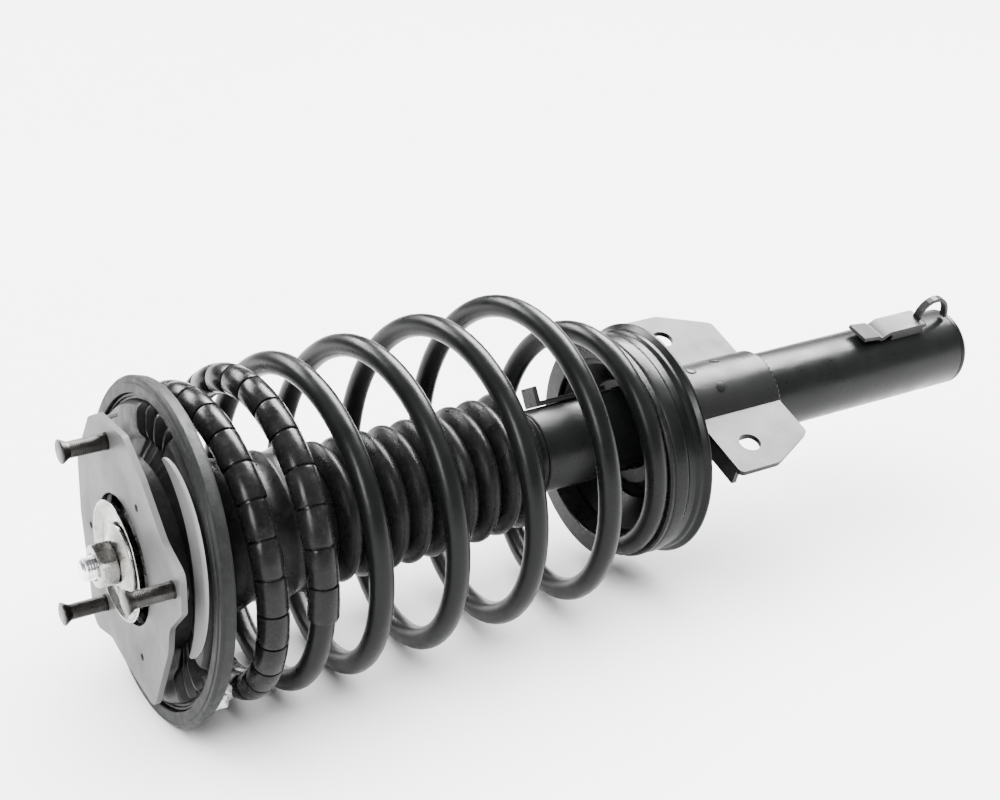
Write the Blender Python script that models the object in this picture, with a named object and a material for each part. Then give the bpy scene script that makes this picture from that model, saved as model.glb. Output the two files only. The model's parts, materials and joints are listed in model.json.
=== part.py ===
"""A ready-mounted suspension strut, lying on its spring: +X runs from the top mount to the tube end."""

import math

import bmesh
import bpy
from mathutils import Matrix, Vector

# Fits
GAP = 0.0003  # between pieces that touch or slide
SHEET = 0.003  # pressed steel

# How the strut lies: its tube and brackets turned about the axis
LYING_ROLL = math.radians(21)

# Damper
TUBE_TOP = 0.227
TUBE_END = 0.5256
TUBE_RADIUS = 0.0226
TUBE_WALL = 0.0026
CYLINDER_RADIUS = 0.0165
CYLINDER_WALL = 0.0015
ROD_RADIUS = 0.010
ROD_TIP = -0.0213
ROD_THREAD_RADIUS = 0.006
PISTON_PLACE = 0.290
PISTON_LENGTH = 0.014
BASE_CAP_LENGTH = 0.006
GUIDE_LENGTH = 0.016
SEAL_LENGTH = 0.004
STRIKER_LENGTH = 0.0045
REBOUND_STOP_LENGTH = 0.010
SPIGOT_LENGTH = 0.004
WELD_CHAMFER = 0.0025
BUSH_WALL = 0.0015
GUIDE_SPIGOT = 0.006
SEAL_LIP = 0.002
VALVE_FOOT = 0.005
PISTON_LAND = 0.003
PISTON_NUT_LENGTH = 0.009
PISTON_NUT_FLATS = 0.017
EDGE = 0.001

# Spring
WIRE_RADIUS = 0.0060
SPRING_RADIUS = 0.078
SPRING_START_ANGLE = math.radians(235)
SPRING_TURNS = 7.04
STEPS_PER_TURN = 16
SLEEVE_RADIUS = 0.0077
SLEEVE_STEPS = (1, 30)
END_WRAP_RADIUS = 0.0078
# Share of the turns: share of the length, change of coil radius, sideways shift, lean in degrees
SPRING_STATIONS = [
    (0.000, 0.000, -0.0055, -0.0010, 4.0),
    (0.075, 0.014, -0.0055, -0.0010, 4.0),
    (0.144, 0.078, -0.0045, -0.0010, 4.0),
    (0.217, 0.125, -0.0025, -0.0010, 4.0),
    (0.360, 0.230, 0.0000, -0.0010, 4.0),
    (0.568, 0.475, 0.0000, 0.0005, 4.5),
    (0.785, 0.757, 0.0005, 0.0030, 4.5),
    (0.853, 0.843, -0.0020, 0.0005, 4.0),
    (0.928, 0.958, -0.0150, -0.0040, 3.0),
    (0.975, 0.997, -0.0220, -0.0060, 0.0),
    (1.000, 1.000, -0.0220, -0.0060, 0.0),
]

# Upper seat, its rubber ring and the bearing
RING_RADIUS = 0.0855
RING_BACK_RADIUS = 0.0815
RING_FRONT = 0.0130
RING_BACK = 0.0225
RING_INNER = 0.0620
SEAT_RADIUS = 0.0768
SEAT_BACK = 0.0197
RIDGE_FRONT = 0.0110
RIDGE_INNER = 0.0590
RIDGE_OUTER = 0.0735
SEAT_LEAN = math.radians(4.5)  # the outer seat and its ring lean towards +X at the top
LEAN_START = 0.0520
HUB_BORE = 0.0300
HUB_WALL = 0.0030
HUB_BACK = 0.0357
RIM_LIP = 0.006
POCKET_ANGLES = [math.radians(angle) for angle in (96, 218, 338)]
POCKET_WIDTH = 0.0320
BEARING_RADIUS = 0.0405
BEARING_HALF_WIDTH = 0.0032
RACE_THICKNESS = 0.0027
BALL_RADIUS = 0.0024
BALLS = 12
CAGE_THICKNESS = 0.0020

# Mount
BOLT_CIRCLE_RADIUS = 0.0583
BOLT_CIRCLE_CENTRE = (-0.0078, 0.0027)
STUD_ANGLES = [math.radians(angle) for angle in (73.3, 167.8, 313.7)]
STUD_RADIUS = 0.0041
STUD_TIP_RADIUS = 0.0060
STUD_HEAD_RADIUS = 0.0064
STUD_HEAD_LENGTH = 0.0019
STUD_REACH = 0.0231
MOUNT_HOLE_RADIUS = 0.0327
TOOLING_HOLES = [(0.0442, -0.0013), (-0.0252, 0.0384), (-0.0149, -0.0462)]
TOOLING_HOLE_RADIUS = 0.0020
DISH_RADIUS = 0.0305
DISH_FLOOR_RADIUS = 0.0260
DISH_RIM_HEIGHT = 0.0030
DISH_WALL = 0.0013
NUT_ACROSS_FLATS = 0.021
NUT_LENGTH = 0.0095
NUT_BACK = -0.0055
WASHER_RADIUS = 0.0185
WASHER_DEPTH = 0.0045
WASHER_THICKNESS = 0.0018
WASHER_FLOOR = 0.0110
SLEEVE_WALL = 0.0032
REBOUND_WASHER_RADIUS = 0.0240
ROD_STEP = 0.0095
MOUNT_RUBBER_RADIUS = 0.0280
MOUNT_RUBBER_LENGTH = 0.0100

# Boot and bump stop
BOOT_RADIUS = 0.0365
BOOT_NECK_RADIUS = 0.0285
BOOT_CUP_RADIUS = 0.0385
BOOT_CUP_END = 0.1000
BOOT_END = 0.2190
BOOT_FOLDS = 9
BOOT_WALL = 0.0012
BUMP_STOP_LENGTH = 0.0630
BUMP_STOP_RADIUS = 0.0215

# Lower seat
LOWER_SEAT_RADIUS = 0.0620
LOWER_SEAT_OFFSET = -0.0085
LOWER_SEAT_FRONT = 0.2800
LOWER_SEAT_BACK = 0.3020
LOWER_HUB_RADIUS = 0.0310
LOWER_ISOLATOR_WALL = 0.0025
LOWER_ISOLATOR_INNER = 0.0490
LOWER_STOP_HEIGHT = 0.0100
GUSSET_ANGLE = math.radians(41)
GUSSET_FRONT = 0.2360
GUSSET_WIDTH = 0.0140

# Clamp bracket
WING_PLANE = 0.0133
WING_REACH = 0.0630
WING_ROOT = 0.0200
WING_HOLE_REACH = 0.0444
WING_HOLE_PLACE = 0.3403
WING_HOLE_RADIUS = 0.0062
WING_FRONT = 0.3215
WING_BACK = 0.3777
WING_LIP = 0.0090
CLAMP_FRONT = 0.3120

# Locating bracket
LOCATOR_TIP = 0.4480
LOCATOR_BEND = 0.4640
LOCATOR_LOOP_START = 0.4940
LOCATOR_LOOP_END = 0.5165
LOCATOR_WIDTH = 0.0150
LOCATOR_THICKNESS = 0.0024
LOCATOR_RISE = 0.0025
LOOP_RISE = 0.0145
LOOP_WIDTH = 0.0045
SKIRT_START = 0.0060
TIP_LENGTH = 0.0120
TIP_LIFT = 0.0028
LOCATOR_ANGLE = math.radians(-5)  # round the tube from the clamp bracket

# Worked out from the sizes above
SPRING_START = RING_BACK + END_WRAP_RADIUS + GAP
SPRING_END = LOWER_SEAT_FRONT - LOWER_ISOLATOR_WALL - WIRE_RADIUS - 2 * GAP
LIE_HEIGHT = RING_RADIUS
LIE_MIDDLE = (TUBE_END - STUD_REACH) / 2

# Sides of a small, a middling and a large round piece, and of the tube's neighbours
COARSE, ROUND, FINE, CLOSE = 16, 24, 36, 48


def clear_scene():
    for obj in list(bpy.data.objects):
        bpy.data.objects.remove(obj)


def material(name, colour, roughness, metallic):
    made = bpy.data.materials.new(name)
    made.use_nodes = True
    shader = made.node_tree.nodes["Principled BSDF"]
    shader.inputs["Base Color"].default_value = (*colour, 1)
    shader.inputs["Roughness"].default_value = roughness
    shader.inputs["Metallic"].default_value = metallic
    return made


def empty(name):
    """An empty on the strut's axis, at the mount plate's front face."""
    made = bpy.data.objects.new(name, None)
    bpy.context.scene.collection.objects.link(made)
    made.location = (-LIE_MIDDLE, 0, LIE_HEIGHT)
    return made


def add(name, mesh_source, finish, parent):
    """One object from a bmesh, with its faces out."""
    bmesh.ops.remove_doubles(mesh_source, verts=mesh_source.verts, dist=0.00001)
    bmesh.ops.recalc_face_normals(mesh_source, faces=mesh_source.faces)
    mesh = bpy.data.meshes.new(name)
    mesh_source.to_mesh(mesh)
    mesh_source.free()
    mesh.shade_smooth()
    mesh.set_sharp_from_angle(angle=math.radians(35))
    mesh.materials.append(finish)
    made = bpy.data.objects.new(name, mesh)
    bpy.context.scene.collection.objects.link(made)
    made.parent = parent
    return made


def turned_mesh(outline, segments, centre=(0, 0)):
    """A solid of revolution about X; outline is (x, radius), open where it starts and ends on the axis."""
    source = bmesh.new()
    points = [source.verts.new((x, 0, r)) for x, r in outline]
    edges = [source.edges.new(pair) for pair in zip(points, points[1:])]
    if outline[0][1] > 0:
        edges.append(source.edges.new((points[-1], points[0])))
    bmesh.ops.spin(source, geom=points + edges, cent=(0, 0, 0), axis=(1, 0, 0), angle=math.tau,
                   steps=segments)
    bmesh.ops.translate(source, verts=source.verts, vec=(0, *centre))
    return source


def turned(name, outline, finish, parent, segments=ROUND, centre=(0, 0)):
    return add(name, turned_mesh(outline, segments, centre), finish, parent)


def leaning(name, outline, finish, parent):
    return add(name, lean(turned_mesh(outline, FINE)), finish, parent)


def lean(source):
    """Leans the part of a mesh outside LEAN_START as the spring's upper end leans."""
    for vert in source.verts:
        if math.hypot(vert.co.y, vert.co.z) > LEAN_START:
            vert.co.x += vert.co.z * math.tan(SEAT_LEAN)
    return source


def ring(front, back, inner, outer):
    return [(front, inner), (front, outer), (back, outer), (back, inner)]


def extruded_mesh(outline, start, end, axis):
    """A flat outline, swept along axis 0, 1 or 2 from start to end."""
    def lift(u, v, w):
        return ((w, u, v), (u, w, v), (u, v, w))[axis]

    source = bmesh.new()
    face = source.faces.new([source.verts.new(lift(u, v, start)) for u, v in outline])
    sides = bmesh.ops.extrude_face_region(source, geom=[face])["geom"]
    moved = [item for item in sides if isinstance(item, bmesh.types.BMVert)]
    bmesh.ops.translate(source, verts=moved, vec=lift(0, 0, end - start))
    return source


def rounded(corners, steps=4):
    """A closed outline whose corners (u, v, radius) become arcs."""
    outline = []
    for index, (u, v, radius) in enumerate(corners):
        here = Vector((u, v))
        before = Vector(corners[index - 1][:2]) - here
        after = Vector(corners[(index + 1) % len(corners)][:2]) - here
        half = before.angle(after) / 2
        bisector = (before.normalized() + after.normalized()).normalized()
        centre = here + bisector * radius / math.sin(half)
        reach = radius / math.tan(half)
        first = here + before.normalized() * reach - centre
        last = here + after.normalized() * reach - centre
        turn = first.angle_signed(last)
        for step in range(steps + 1):
            outline.append(tuple(centre + Matrix.Rotation(-turn * step / steps, 2) @ first))
    return outline


def circle(radius, segments, centre=(0, 0), phase=0.0):
    angles = [phase + math.tau * step / segments for step in range(segments)]
    return [(centre[0] + radius * math.cos(a), centre[1] + radius * math.sin(a)) for a in angles]


def cutter(name, source, parent):
    made = add(name, source, metal, parent)
    made.hide_render = True
    made.display_type = "WIRE"
    return made


def combine(target, operation, other):
    change = target.modifiers.new(operation.lower(), "BOOLEAN")
    change.operation = operation
    change.object = other
    change.solver = "EXACT"


def swept_mesh(path, radius, sides, hollow=0.0):
    """A round bar, or a pipe, along a path of points about the X axis."""
    source = bmesh.new()
    rings = []
    for index, point in enumerate(path):
        along = (path[min(index + 1, len(path) - 1)] - path[max(index - 1, 0)]).normalized()
        across = Vector((1, 0, 0)).cross(along).normalized()
        up = along.cross(across)
        for size in (radius, hollow) if hollow else (radius,):
            turn = [(math.cos(a), math.sin(a)) for a in (math.tau * s / sides for s in range(sides))]
            rings.append([source.verts.new(point + (across * c + up * s) * size) for c, s in turn])
    kinds = 2 if hollow else 1
    for kind in range(kinds):
        line = rings[kind::kinds]
        for one, two in zip(line, line[1:]):
            join(source, one, two)
    for end in (rings[:kinds], rings[-kinds:]):
        if hollow:
            join(source, *end)
        else:
            source.faces.new(end[0])
    return source


def join(source, one, two):
    for index in range(len(one)):
        source.faces.new((one[index - 1], one[index], two[index], two[index - 1]))


def smooth(places, values, place):
    """A smooth curve through the values, each at its place."""
    last = len(places) - 2
    index = min(max(sum(place >= p for p in places) - 1, 0), last)
    slopes = []
    for knot in (index, index + 1):
        before, after = max(knot - 1, 0), min(knot + 1, last + 1)
        slopes.append((values[after] - values[before]) / (places[after] - places[before]))
    width = places[index + 1] - places[index]
    t = (place - places[index]) / width
    return (
        values[index] * (1 + 2 * t) * (1 - t) ** 2
        + slopes[0] * width * t * (1 - t) ** 2
        + values[index + 1] * t * t * (3 - 2 * t)
        + slopes[1] * width * t * t * (t - 1)
    )


def spring_place(turn):
    """The wire's centre after a number of turns from the upper end."""
    share, along, radius, rise, lean = zip(*SPRING_STATIONS)
    at = turn / SPRING_TURNS
    x = SPRING_START + (SPRING_END - SPRING_START) * smooth(share, along, at)
    r = SPRING_RADIUS + smooth(share, radius, at)
    angle = SPRING_START_ANGLE + math.tau * turn
    y, z = r * math.cos(angle), r * math.sin(angle)
    return Vector((x + z * math.tan(math.radians(smooth(share, lean, at))), y, z + smooth(share, rise, at)))


def spring_path(first=0, last=None):
    """The wire's line by whole steps, and to its end if no last step is given."""
    whole = math.floor(SPRING_TURNS * STEPS_PER_TURN) if last is None else last
    turns = [step / STEPS_PER_TURN for step in range(first, whole + 1)]
    if last is None:
        turns.append(SPRING_TURNS)
    return [spring_place(turn) for turn in turns]


def build_damper(parent):
    inside = TUBE_RADIUS - TUBE_WALL
    cap_face = TUBE_END - BASE_CAP_LENGTH
    turned("strut_tube", ring(TUBE_TOP, cap_face - GAP, inside, TUBE_RADIUS), black_paint, parent, FINE)
    spigot = cap_face - SPIGOT_LENGTH
    edge = WELD_CHAMFER
    turned(
        "base_cap",
        [(spigot, 0), (spigot, inside - GAP), (cap_face, inside - GAP), (cap_face, TUBE_RADIUS),
         (TUBE_END - edge, TUBE_RADIUS), (TUBE_END - edge * 0.3, TUBE_RADIUS - edge * 0.3),
         (TUBE_END, TUBE_RADIUS - edge), (TUBE_END, 0)],
        black_paint, parent, FINE,
    )
    guide_front = TUBE_TOP + SEAL_LENGTH
    guide_back = guide_front + GUIDE_LENGTH
    bore = ROD_RADIUS + GAP
    cylinder_bore = CYLINDER_RADIUS - CYLINDER_WALL
    bush_radius = bore + BUSH_WALL
    turned(
        "rod_guide",
        [(guide_front, bush_radius + GAP), (guide_front, inside - GAP),
         (guide_back - GUIDE_SPIGOT, inside - GAP), (guide_back - GUIDE_SPIGOT, cylinder_bore - GAP),
         (guide_back, cylinder_bore - GAP), (guide_back, bush_radius + GAP)],
        sintered, parent,
    )
    turned("rod_guide_bush", ring(guide_front + EDGE, guide_back - EDGE, bore, bush_radius), brass, parent)
    turned("rod_seal", ring(TUBE_TOP + GAP, guide_front - GAP, bore, inside - GAP), rubber, parent)
    turned(
        "striker_cap",
        [(TUBE_TOP - STRIKER_LENGTH, bore + SEAL_LIP), (TUBE_TOP - STRIKER_LENGTH, TUBE_RADIUS - SEAL_LIP),
         (TUBE_TOP - GAP, TUBE_RADIUS), (TUBE_TOP - GAP, bore + SEAL_LIP)],
        zinc, parent,
    )
    cylinder_front = guide_back - GUIDE_SPIGOT + GAP
    cylinder_back = spigot - 0.012
    turned(
        "inner_cylinder",
        ring(cylinder_front, cylinder_back, cylinder_bore, CYLINDER_RADIUS), metal, parent,
    )
    turned(
        "base_valve",
        [(cylinder_back - VALVE_FOOT, 0), (cylinder_back - VALVE_FOOT, cylinder_bore - GAP),
         (cylinder_back + GAP, cylinder_bore - GAP),
         (cylinder_back + GAP, CYLINDER_RADIUS), (cylinder_back + VALVE_FOOT, CYLINDER_RADIUS),
         (spigot - GAP, CYLINDER_RADIUS - VALVE_FOOT), (spigot - GAP, 0)],
        sintered, parent,
    )


def build_piston(parent):
    cylinder_bore = CYLINDER_RADIUS - CYLINDER_WALL
    front, back = PISTON_PLACE, PISTON_PLACE + PISTON_LENGTH
    outer = cylinder_bore - GAP
    groove = outer - EDGE
    neck = ROD_THREAD_RADIUS
    turned(
        "piston_rod",
        [(ROD_TIP, 0), (ROD_TIP, neck - EDGE), (ROD_TIP + EDGE, neck), (ROD_STEP, neck),
         (ROD_STEP, ROD_RADIUS),
         (front - GAP, ROD_RADIUS), (front - GAP, neck), (back + 0.012, neck), (back + 0.012, 0)],
        chrome, parent,
    )
    turned(
        "piston",
        [(front, neck + GAP), (front, outer), (front + PISTON_LAND, outer), (front + PISTON_LAND, groove),
         (back - PISTON_LAND, groove), (back - PISTON_LAND, outer), (back, outer), (back, neck + GAP)],
        sintered, parent,
    )
    turned("piston_band", ring(front + PISTON_LAND + GAP, back - PISTON_LAND - GAP, groove + GAP, outer),
           plastic, parent)
    hexagon("piston_nut", back + GAP, back + PISTON_NUT_LENGTH, PISTON_NUT_FLATS, neck + GAP, zinc, parent)
    stop_front = TUBE_TOP + SEAL_LENGTH + GUIDE_LENGTH + GAP
    turned(
        "rebound_stop",
        ring(stop_front, stop_front + REBOUND_STOP_LENGTH, ROD_RADIUS + GAP, cylinder_bore - 0.0015),
        plastic, parent,
    )


def hexagon(name, front, back, across_flats, bore, finish, parent):
    """A hexagonal nut: the two outlines have 24 points each, so that they join point to point."""
    source = bmesh.new()
    outer, inner = [], []
    for step in range(24):
        angle = math.tau * step / 24
        inside_flat = (angle % (math.tau / 6)) - math.tau / 12
        reach = across_flats / 2 / math.cos(inside_flat)
        outer.append((reach * math.cos(angle), reach * math.sin(angle)))
        inner.append((bore * math.cos(angle), bore * math.sin(angle)))
    rings = [
        [source.verts.new((x, y, z)) for y, z in outline]
        for x, outline in ((front, outer), (back, outer), (back, inner), (front, inner))
    ]
    for index in range(4):
        join(source, rings[index - 1], rings[index])
    return add(name, source, finish, parent)


def stud_places():
    return [
        (BOLT_CIRCLE_CENTRE[0] + BOLT_CIRCLE_RADIUS * math.cos(angle),
         BOLT_CIRCLE_CENTRE[1] + BOLT_CIRCLE_RADIUS * math.sin(angle))
        for angle in STUD_ANGLES
    ]


def plate_outline():
    """The plate's corners (y, z, corner radius), round the three lugs and the lower lobe."""
    return rounded([
        (0.0590, 0.0010, 0.030), (0.0555, 0.0330, 0.012), (0.0330, 0.0620, 0.008), (0.0190, 0.0690, 0.006),
        (-0.0140, 0.0700, 0.006), (-0.0340, 0.0565, 0.020), (-0.0560, 0.0345, 0.015),
        (-0.0750, 0.0265, 0.006),
        (-0.0735, 0.0060, 0.006), (-0.0560, -0.0100, 0.015), (-0.0520, -0.0245, 0.025),
        (-0.0260, -0.0690, 0.008),
        (0.0080, -0.0630, 0.020), (0.0290, -0.0575, 0.008), (0.0540, -0.0630, 0.007),
    ])


def build_mount(parent):
    plate = add("mount_plate", extruded_mesh(plate_outline(), 0, SHEET, 0), painted_steel, parent)
    bore = extruded_mesh(circle(MOUNT_HOLE_RADIUS, FINE), -SHEET, 2 * SHEET, 0)
    combine(plate, "DIFFERENCE", cutter("mount_bore", bore, parent))
    head_front = SHEET + GAP
    for number, centre in enumerate(stud_places(), 1):
        hole = [(-SHEET, 0), (-SHEET, STUD_RADIUS + GAP), (2 * SHEET, STUD_RADIUS + GAP), (2 * SHEET, 0)]
        combine(plate, "DIFFERENCE", cutter(f"stud_hole_{number}", turned_mesh(hole, COARSE, centre),
                                            parent))
        tip = -STUD_REACH
        stud = [
            (tip, 0), (tip, STUD_TIP_RADIUS), (tip + 0.0012, STUD_TIP_RADIUS), (tip + 0.0040, STUD_RADIUS),
            (head_front, STUD_RADIUS), (head_front, STUD_HEAD_RADIUS),
            (head_front + STUD_HEAD_LENGTH, STUD_HEAD_RADIUS), (head_front + STUD_HEAD_LENGTH, 0),
        ]
        turned(f"mount_stud_{number}", stud, zinc, parent, COARSE, centre)
    for number, centre in enumerate(TOOLING_HOLES, 1):
        hole = extruded_mesh(circle(TOOLING_HOLE_RADIUS, 10, centre), -SHEET, 2 * SHEET, 0)
        combine(plate, "DIFFERENCE", cutter(f"tooling_hole_{number}", hole, parent))
    sleeve_radius = ROD_THREAD_RADIUS + GAP + SLEEVE_WALL
    washer_back = NUT_BACK + WASHER_DEPTH
    dish_front = washer_back + GAP
    rim_front = dish_front - DISH_RIM_HEIGHT
    turned(
        "mount_dish",
        [(dish_front, sleeve_radius + GAP), (dish_front, DISH_FLOOR_RADIUS),
         (rim_front, DISH_RADIUS - DISH_WALL),
         (rim_front, DISH_RADIUS), (dish_front + DISH_WALL, DISH_FLOOR_RADIUS + DISH_WALL),
         (dish_front + DISH_WALL, sleeve_radius + GAP)],
        zinc, parent, FINE,
    )
    turned(
        "cup_washer",
        [(NUT_BACK + GAP, ROD_THREAD_RADIUS + GAP), (NUT_BACK + GAP, WASHER_FLOOR + SHEET / 3),
         (washer_back - WASHER_THICKNESS, WASHER_RADIUS),
         (washer_back, WASHER_RADIUS), (washer_back, WASHER_RADIUS - 0.002),
         (NUT_BACK + WASHER_THICKNESS, WASHER_FLOOR),
         (NUT_BACK + WASHER_THICKNESS, ROD_THREAD_RADIUS + GAP)],
        zinc, parent,
    )
    turned(
        "spacer_sleeve",
        ring(NUT_BACK + WASHER_THICKNESS + GAP, ROD_STEP - GAP, ROD_THREAD_RADIUS + GAP, sleeve_radius),
        metal, parent, COARSE,
    )
    nut_front = NUT_BACK - NUT_LENGTH
    hexagon("rod_nut", nut_front, NUT_BACK, NUT_ACROSS_FLATS, ROD_THREAD_RADIUS + GAP, zinc, parent)
    rubber_front = ROD_STEP + GAP
    rubber_back = rubber_front + MOUNT_RUBBER_LENGTH
    turned(
        "mount_rubber",
        [(rubber_front, ROD_RADIUS + GAP), (rubber_front, MOUNT_RUBBER_RADIUS - 0.002),
         (rubber_front + 0.002, MOUNT_RUBBER_RADIUS), (rubber_back, MOUNT_RUBBER_RADIUS),
         (rubber_back, ROD_RADIUS + GAP)],
        rubber, parent,
    )
    turned("rebound_washer", ring(rubber_back + GAP, rubber_back + WASHER_THICKNESS, ROD_RADIUS + GAP,
                                  REBOUND_WASHER_RADIUS), metal, parent)
    turned("upper_race", race(SHEET + GAP), metal, parent)


def race(front):
    inner, outer = BEARING_RADIUS - BEARING_HALF_WIDTH, BEARING_RADIUS + BEARING_HALF_WIDTH
    return ring(front, front + RACE_THICKNESS, inner, outer)


def build_bearing(balls_parent, seat_parent):
    """The balls and their cage turn between the two races."""
    middle = SHEET + 2 * GAP + RACE_THICKNESS + BALL_RADIUS
    cage_ring = ring(
        middle - CAGE_THICKNESS / 2, middle + CAGE_THICKNESS / 2,
        BEARING_RADIUS - BEARING_HALF_WIDTH - 0.001, BEARING_RADIUS + BEARING_HALF_WIDTH,
    )
    cage = turned("bearing_cage", cage_ring, plastic, balls_parent)
    for number in range(1, BALLS + 1):
        angle = math.tau * number / BALLS
        centre = (BEARING_RADIUS * math.cos(angle), BEARING_RADIUS * math.sin(angle))
        pocket = circle(BALL_RADIUS + GAP, 8, centre, angle + math.pi / 8)
        source = extruded_mesh(pocket, middle - BALL_RADIUS, middle + BALL_RADIUS, 0)
        combine(cage, "DIFFERENCE", cutter(f"ball_pocket_{number}", source, balls_parent))
        ball = bmesh.new()
        bmesh.ops.create_icosphere(ball, subdivisions=1, radius=BALL_RADIUS)
        bmesh.ops.translate(ball, verts=ball.verts, vec=(middle, *centre))
        add(f"bearing_ball_{number:02d}", ball, metal, balls_parent)
    turned("lower_race", race(middle + BALL_RADIUS + GAP), metal, seat_parent)
    return middle + BALL_RADIUS + RACE_THICKNESS + 2 * GAP


def build_upper_seat(parent, race_seat):
    race_radius = BEARING_RADIUS + BEARING_HALF_WIDTH + GAP
    seat = leaning(
        "upper_spring_seat",
        [(race_seat, HUB_BORE), (race_seat, race_radius), (SHEET + 0.0055, race_radius),
         (SHEET + 0.0055, race_radius + 0.0025), (0.0150, race_radius + 0.0040),
         (0.0150, RIDGE_INNER - 0.0025),
         (RIDGE_FRONT, RIDGE_INNER), (RIDGE_FRONT, RIDGE_OUTER - 0.0020),
         (RIDGE_FRONT + 0.0020, RIDGE_OUTER),
         (0.0160, RIDGE_OUTER + 0.0010), (0.0160, SEAT_RADIUS), (SEAT_BACK, SEAT_RADIUS),
         (SEAT_BACK, RING_INNER - 0.001), (SEAT_BACK, HUB_BORE + HUB_WALL),
         (HUB_BACK, HUB_BORE + HUB_WALL), (HUB_BACK, BUMP_STOP_RADIUS - RIM_LIP),
         (HUB_BACK - HUB_WALL, BUMP_STOP_RADIUS - RIM_LIP), (HUB_BACK - HUB_WALL, HUB_BORE)],
        plastic, parent,
    )
    for number, angle in enumerate(POCKET_ANGLES, 1):
        half = POCKET_WIDTH / 2
        outline = [(RIDGE_INNER - 0.0015, -half), (RIDGE_OUTER + 0.0005, -half),
                   (RIDGE_OUTER + 0.0005, half),
                   (RIDGE_INNER - 0.0015, half)]
        source = extruded_mesh(outline, RIDGE_FRONT - 0.001, 0.0165, 0)
        bmesh.ops.rotate(source, verts=source.verts, matrix=Matrix.Rotation(angle, 3, "X"))
        combine(seat, "DIFFERENCE", cutter(f"seat_pocket_{number}", lean(source), parent))
    leaning(
        "upper_isolator",
        [(RING_FRONT, SEAT_RADIUS + GAP), (RING_FRONT, RING_RADIUS - 0.0015),
         (RING_FRONT + 0.0015, RING_RADIUS),
         (RING_FRONT + 0.0050, RING_RADIUS), (RING_BACK, RING_BACK_RADIUS), (RING_BACK, RING_INNER),
         (SEAT_BACK + GAP, RING_INNER), (SEAT_BACK + GAP, SEAT_RADIUS + GAP)],
        grey_rubber, parent,
    )


def build_boot(parent):
    end = HUB_BACK + GAP
    groove = BUMP_STOP_RADIUS - 0.004
    length = BUMP_STOP_LENGTH
    turned(
        "bump_stop",
        [(end, ROD_RADIUS + 0.0008), (end, BUMP_STOP_RADIUS), (end + length * 0.28, BUMP_STOP_RADIUS),
         (end + length * 0.36, groove), (end + length * 0.44, BUMP_STOP_RADIUS),
         (end + length * 0.60, BUMP_STOP_RADIUS * 0.95), (end + length * 0.67, groove),
         (end + length * 0.74, BUMP_STOP_RADIUS * 0.88), (end + length, BUMP_STOP_RADIUS * 0.65),
         (end + length, ROD_RADIUS + 0.0008)],
        bump_foam, parent, COARSE,
    )
    outer = [(end, BOOT_NECK_RADIUS), (end + 0.010, BOOT_CUP_RADIUS),
             (BOOT_CUP_END - 0.008, BOOT_CUP_RADIUS)]
    step = (BOOT_END - BOOT_CUP_END) / BOOT_FOLDS
    for fold in range(BOOT_FOLDS):
        outer.append((BOOT_CUP_END + step * fold, BOOT_NECK_RADIUS))
        outer.append((BOOT_CUP_END + step * (fold + 0.5), BOOT_RADIUS))
    outer.append((BOOT_END, BOOT_NECK_RADIUS))
    inner = [(x, r - BOOT_WALL) for x, r in reversed(outer)]
    turned("dust_boot", outer + inner, rubber, parent, COARSE)


def build_spring(parent):
    line = spring_path()
    add("coil_spring", swept_mesh(line, WIRE_RADIUS, 8), black_paint, parent)
    add("spring_sleeve", swept_mesh(spring_path(*SLEEVE_STEPS), SLEEVE_RADIUS, 8, WIRE_RADIUS + 2 * GAP),
        plastic, parent)
    wrap = [line[0].lerp(line[1], share) for share in (-0.12, 0.4, 0.82)]
    add("spring_end_wrap", swept_mesh(wrap, END_WRAP_RADIUS, 8, WIRE_RADIUS + 3 * GAP), plastic, parent)


def build_lower_seat(parent, tube_parent):
    shift = (0, LOWER_SEAT_OFFSET)
    front, back, radius = LOWER_SEAT_FRONT, LOWER_SEAT_BACK, LOWER_SEAT_RADIUS
    seat = turned(
        "lower_spring_seat",
        [(front, LOWER_ISOLATOR_INNER - 0.003), (front, radius - 0.002), (front + 0.002, radius),
         (back - 0.003, radius),
         (back - 0.002, radius + 0.0025), (back, radius + 0.0025), (back, radius - SHEET),
         (front + SHEET, radius - SHEET),
         (front + SHEET, LOWER_ISOLATOR_INNER), (front + 0.018, TUBE_RADIUS), (front + 0.014, TUBE_RADIUS)],
        black_paint, parent, FINE, shift,
    )
    hub_front = front + 0.010
    hub = turned_mesh([(hub_front, 0), (hub_front, LOWER_HUB_RADIUS), (back, LOWER_HUB_RADIUS),
                       (back, 0)], FINE)
    combine(seat, "UNION", cutter("seat_hub", hub, parent))
    bore = turned_mesh(
        [(front - 0.02, 0), (front - 0.02, TUBE_RADIUS + GAP), (back + 0.02, TUBE_RADIUS + GAP),
         (back + 0.02, 0)], FINE)
    combine(seat, "DIFFERENCE", cutter("seat_bore", bore, parent))
    build_lower_isolator(parent)
    gusset_base = TUBE_RADIUS + GAP
    outline = [(GUSSET_FRONT, gusset_base), (GUSSET_FRONT, gusset_base + 0.011),
               (GUSSET_FRONT + 0.0025, gusset_base + 0.011),
               (GUSSET_FRONT + 0.0025, gusset_base + 0.0027), (front - GAP, gusset_base + 0.0027),
               (front - GAP, gusset_base)]
    half = GUSSET_WIDTH / 2
    source = extruded_mesh(outline, -half, half, 1)
    bmesh.ops.rotate(source, verts=source.verts, matrix=Matrix.Rotation(GUSSET_ANGLE - math.pi / 2, 3, "X"))
    add("seat_gusset", source, black_paint, tube_parent)


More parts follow.
